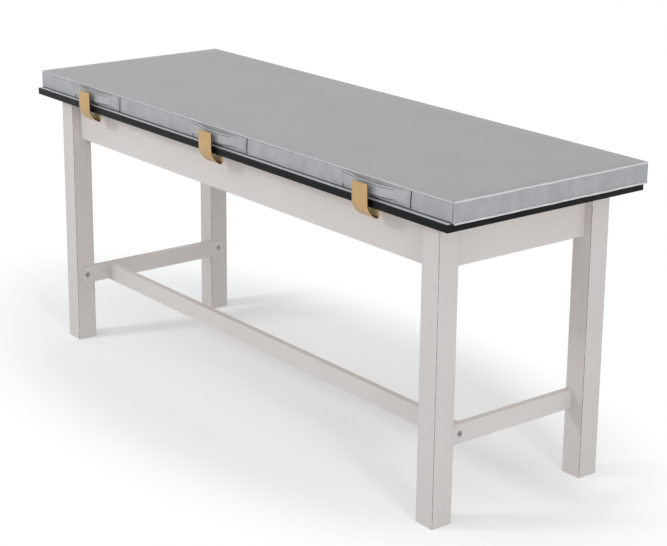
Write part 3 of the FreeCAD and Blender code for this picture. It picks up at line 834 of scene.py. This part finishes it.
for side in SIDES:
    # The fold's paler finish is a painted highlight.
    strap_line("strap_fold_" + side, side, 0.01, 0.8, 0.99, 0.8 * MM, seam_highlight_pale)
    strap_line("strap_stitch_high_" + side, side, 0.02, 0.8, 0.86, 0.5 * MM, seam_shadow)
    # A painted shadow line along the strap's bottom edge.
    strap_line("strap_painted_shadow_low_" + side, side, 0.3, 0.8, 0.05, 0.6 * MM, seam_shadow)
    low, high = HANDLE_BOX[side]
    edge_x = high[0] - PATCH_WIDE
    edge_line = [(edge_x, front_of_pad(edge_x, z) - 1.4 * MM, z)
                 for z in np.linspace(low[2] - 2 * MM, high[2] + 2 * MM, 9)]
    tube("patch_edge_" + side, edge_line, 0.6 * MM, groove_shadow)


def stitch_rows(side):
    """Short upright threads: a row on the strap's left end and two on the patch over its right end."""
    low, high = HANDLE_BOX[side]
    shape = bmesh.new()
    for x in (low[0] + 6 * MM, high[0] - 47 * MM, high[0] - 5 * MM):
        for i in range(7):
            z = low[2] + 3 * MM + i * 4 * MM
            y = front_of_pad(x, z) - (STRAP + 0.4 * MM if x < high[0] - 20 * MM else 1.5 * MM)
            made = bmesh.ops.create_uvsphere(shape, u_segments=8, v_segments=6, radius=0.45 * MM)["verts"]
            bmesh.ops.scale(shape, vec=(0.9, 0.7, 3.2), verts=made)
            bmesh.ops.translate(shape, vec=(x, y, z), verts=made)
    return piece("handle_stitches_" + side, shape, grey_thread, "pad")


stitches = [stitch_rows(side) for side in SIDES]
print("rows of stitches:", [s.name for s in stitches])

# %% [markdown]
# ## Corner seams of the cover
#
# The side strip is closed by an upright seam at each corner, where the vinyl is drawn in and puckers. A thin
# dark tube pressed into the corner shows the seam. A paler one beside it shows the pucker, and its paler
# finish is a painted highlight.

# %% Corner seams
INSIDE = 30 * MM
OUTSIDE = 200 * MM


def corner_seam(name, sx, sy):
    """A seam down one upright corner, found by a ray from outside along the diagonal."""
    points = []
    centre = Vector((start_high.x - INSIDE if sx > 0 else start_low.x + INSIDE,
                     start_high.y - INSIDE if sy > 0 else start_low.y + INSIDE, 0))
    for i in range(11):
        z = pad_low.z + 4 * MM + (pad_high.z - pad_low.z - 9 * MM) * i / 10
        origin = centre + Vector((sx * OUTSIDE, sy * OUTSIDE, z))
        hit = pad_tree.ray_cast(origin, Vector((-sx, -sy, 0)).normalized())[0]
        if hit:
            points.append(hit + Vector((sx, sy, 0)) * 0.1 * MM)
    beside = [p + Vector((0.9 * sx, -3.6 * sy, 0)) * MM for p in points[:-1]]
    # The pucker's paler finish is a painted highlight.
    tube("pucker_" + name, beside, 1.3 * MM, seam_highlight_pale)
    return tube(name, points, 1.0 * MM, seam_shadow)


corner_seams = [corner_seam(f"corner_seam_{n}", sx, sy)
                for n, (sx, sy) in enumerate(((1, -1), (1, 1), (-1, 1), (-1, -1)))]
print("corner seams:", len(corner_seams))

# %% [markdown]
# ## Shadow lines of the brace's screws
#
# The brace's wide screw heads lie in countersunk holes, so a dark ring shows round each head, and the crossed
# recess in its middle is dark. Both are finer than the picture can show, so they are drawn a little coarser,
# as thin tubes on the face of the board. Their places come from the boxes round the screws.

# %% Rings and recesses of the brace's screws
HEAD_RADIUS = 7.5 * MM
RECESS_REACH = 2.2 * MM
RECESS_TURN = 0.6


def screw_marks(name, x, y, z):
    """Marks on the screw head whose face is at x, round the point (y, z)."""
    def on_face(radius, angle):
        return Vector((x + 0.1 * MM, y + radius * math.cos(angle), z + radius * math.sin(angle)))
    ring = [on_face(HEAD_RADIUS, a) for a in np.linspace(0, 2 * math.pi, 24, endpoint=False)]
    tube("countersink_ring_" + name, ring, 0.35 * MM, groove_shadow, closed=True, body="table")
    for mark, angle in (("a", RECESS_TURN), ("b", RECESS_TURN + math.pi / 2)):
        line = [on_face(s * RECESS_REACH, angle) for s in (-1, 0, 1)]
        tube(f"cross_recess_{name}_{mark}", line, 0.65 * MM, seam_shadow, body="table")


leg_screws_low, leg_screws_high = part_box("brace_leg_screws")
beam_screws_low, beam_screws_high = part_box("beam_screws")
screw_z = (leg_screws_low[2] + leg_screws_high[2]) / 2
screw_marks("left_front", leg_screws_high[0], leg_screws_low[1] + HEAD_RADIUS, screw_z)
screw_marks("left_back", leg_screws_high[0], leg_screws_high[1] - HEAD_RADIUS, screw_z)
screw_marks("right", beam_screws_high[0], (beam_screws_low[1] + beam_screws_high[1]) / 2, screw_z)
print("screw marks at height", round(screw_z, 4))

# %% [markdown]
# ## Floor
#
# The photograph is a studio cut-out on white with soft shadows. The floor is a large disc of pale matt paper,
# so the table's shadow falls on it. Seen by the camera it turns white away from the table: outside an oval a
# white glow takes the paper's place. Other rays always meet the paper, so the light it throws back on the
# table stays the same.

# %% Floor
FLOOR_RADIUS = 14
PAPER_LIT = 0.9
PAPER_SEEN = 1.13
# The paper is a trace cooler than the light, so that it looks neutral.
PAPER_TINT = (0.975, 1.0, 1.025)
# An oval is a circle whose x and y are scaled. Its middle lies a little to the left.
OVAL_SCALE = (0.72, 1.5, 0)
OVAL_SHIFT = (0.12, 0, 0)
SHADOW_END = 0.66
WHITE_START = 1.15
floor_shape = bmesh.new()
bmesh.ops.create_circle(floor_shape, cap_ends=True, radius=FLOOR_RADIUS, segments=96)
floor_mesh = bpy.data.meshes.new("floor")
floor_shape.to_mesh(floor_mesh)
floor_shape.free()
floor = bpy.data.objects.new("floor", floor_mesh)
bpy.context.scene.collection.objects.link(floor)
floor_material, floor_tree, _ = new_finish("studio_floor_white", 0.9)
camera_ray = add(floor_tree, "ShaderNodeLightPath").outputs["Is Camera Ray"]
floor_tone = add(floor_tree, "ShaderNodeMapRange", Value=camera_ray, To_Min=PAPER_LIT,
                 To_Max=PAPER_SEEN).outputs[0]
floor_colour = add(floor_tree, "ShaderNodeVectorMath", {"operation": "MULTIPLY"}, _0=floor_tone,
                   _1=PAPER_TINT).outputs[0]
floor_paper = add(floor_tree, "ShaderNodeBsdfDiffuse", Color=floor_colour)
white_glow = add(floor_tree, "ShaderNodeEmission", Color=(1, 1, 1, 1), Strength=1.0)
spot = add(floor_tree, "ShaderNodeTexCoord").outputs["Object"]
oval = add(floor_tree, "ShaderNodeVectorMath", {"operation": "MULTIPLY_ADD"}, _0=spot, _1=OVAL_SCALE,
           _2=OVAL_SHIFT).outputs[0]
away = add(floor_tree, "ShaderNodeVectorMath", {"operation": "LENGTH"}, _0=oval).outputs["Value"]
far = add(floor_tree, "ShaderNodeMapRange", {"interpolation_type": "SMOOTHSTEP"}, Value=away,
          From_Min=SHADOW_END, From_Max=WHITE_START, To_Min=0.0, To_Max=1.0)
whiter = add(floor_tree, "ShaderNodeMath", {"operation": "MULTIPLY"}, _0=far.outputs[0], _1=camera_ray)
mixed = add(floor_tree, "ShaderNodeMixShader", _0=whiter.outputs[0], _1=floor_paper.outputs[0],
            _2=white_glow.outputs[0])
floor_tree.links.new(mixed.outputs[0], floor_tree.nodes["Material Output"].inputs["Surface"])
floor_mesh.materials.append(floor_material)
print("floor radius", FLOOR_RADIUS, "m")

# %% [markdown]
# ## Background
#
# The world is white for camera, glossy and transmitted rays, so the table stands on white and its gloss
# mirrors white. For all other rays it is a soft light that comes less from overhead than from around, as in a
# room with light walls, which keeps the pad's top from looking brighter than its sides.

# %% World
OVERHEAD = 0.5
world = bpy.data.worlds.new("studio")
bpy.context.scene.world = world
world.use_nodes = True
sky = world.node_tree
background = sky.nodes["Background"]
ray = add(sky, "ShaderNodeLightPath")
mirrored = add(sky, "ShaderNodeMath", {"operation": "MAXIMUM"}, _0=ray.outputs["Is Camera Ray"],
               _1=ray.outputs["Is Glossy Ray"])
shown = add(sky, "ShaderNodeMath", {"operation": "MAXIMUM"}, _0=mirrored.outputs[0],
            _1=ray.outputs["Is Transmission Ray"])
sky_way = add(sky, "ShaderNodeTexCoord").outputs["Generated"]
height = add(sky, "ShaderNodeSeparateXYZ", Vector=sky_way).outputs[2]
around = add(sky, "ShaderNodeMapRange", Value=height, From_Min=0.0, From_Max=1.0, To_Min=1.0,
             To_Max=OVERHEAD).outputs[0]
strength = add(sky, "ShaderNodeMix", {"data_type": "FLOAT"}, _0=shown.outputs[0], _2=around, _3=1.0)
background.inputs["Color"].default_value = (1, 1, 1, 1)
sky.links.new(strength.outputs[0], background.inputs["Strength"])
print("world strength overhead", OVERHEAD)

# %% [markdown]
# ## Lamps
#
# In the photograph the faces that look to the right and those that look to the front are about equally
# bright, and the shadows on the floor are soft. So two square lamps do it: one low at the right end, and one
# higher in front at the left. They are as bright as it takes for a colour to render about as written, next to
# the world's own light.

# %% Lamps
def lamp(name, place, target, size, watts):
    light = bpy.data.lights.new(name, "AREA")
    light.shape = "SQUARE"
    light.size = size
    light.energy = watts
    obj = bpy.data.objects.new(name, light)
    bpy.context.scene.collection.objects.link(obj)
    way = Vector(target) - Vector(place)
    obj.matrix_world = Matrix.Translation(place) @ way.to_track_quat("-Z", "Y").to_matrix().to_4x4()
    return obj


lamp("key_right", (5.2, -1.5, 1.75), (-0.2, 0, 0.35), 1.0, 49)
lamp("key_front_left", (-2.0, -4.2, 3.1), (-0.1, 0, 0.5), 0.9, 58)
print("lamps placed")

# %% [markdown]
# ## Camera
#
# The camera stands where the photograph was taken from. Its place, its turn and its lens come from matching
# the straight edges of the table in the photograph.

# %% Camera
PICTURE_WIDE = 667
PICTURE_TALL = 546
FOCAL_PIXELS = 1747.8
CENTRE = (324.96, 205.70)
CAMERA_PLACE = (3.6416, -2.7761, 1.8251)
CAMERA_RIGHT = (0.61250, 0.79043, 0.00815)
CAMERA_UP = (-0.21598, 0.15743, 0.96362)
SENSOR_MM = 36
camera_data = bpy.data.cameras.new("camera")
camera = bpy.data.objects.new("camera", camera_data)
bpy.context.scene.collection.objects.link(camera)
right = Vector(CAMERA_RIGHT).normalized()
about_up = Vector(CAMERA_UP)
up = (about_up - right * about_up.dot(right)).normalized()
back = right.cross(up)
turn = Matrix((right, up, back)).transposed().to_4x4()
camera.matrix_world = Matrix.Translation(CAMERA_PLACE) @ turn
camera_data.sensor_width = SENSOR_MM
camera_data.lens = SENSOR_MM * FOCAL_PIXELS / PICTURE_WIDE
camera_data.shift_x = (PICTURE_WIDE / 2 - CENTRE[0]) / PICTURE_WIDE
camera_data.shift_y = (CENTRE[1] - PICTURE_TALL / 2) / PICTURE_WIDE
camera_data.clip_end = 100
bpy.context.scene.camera = camera
bpy.context.scene.view_settings.view_transform = "Standard"
shift = (camera_data.shift_x, camera_data.shift_y)
print("lens", round(camera_data.lens, 2), "shift", [round(v, 4) for v in shift])
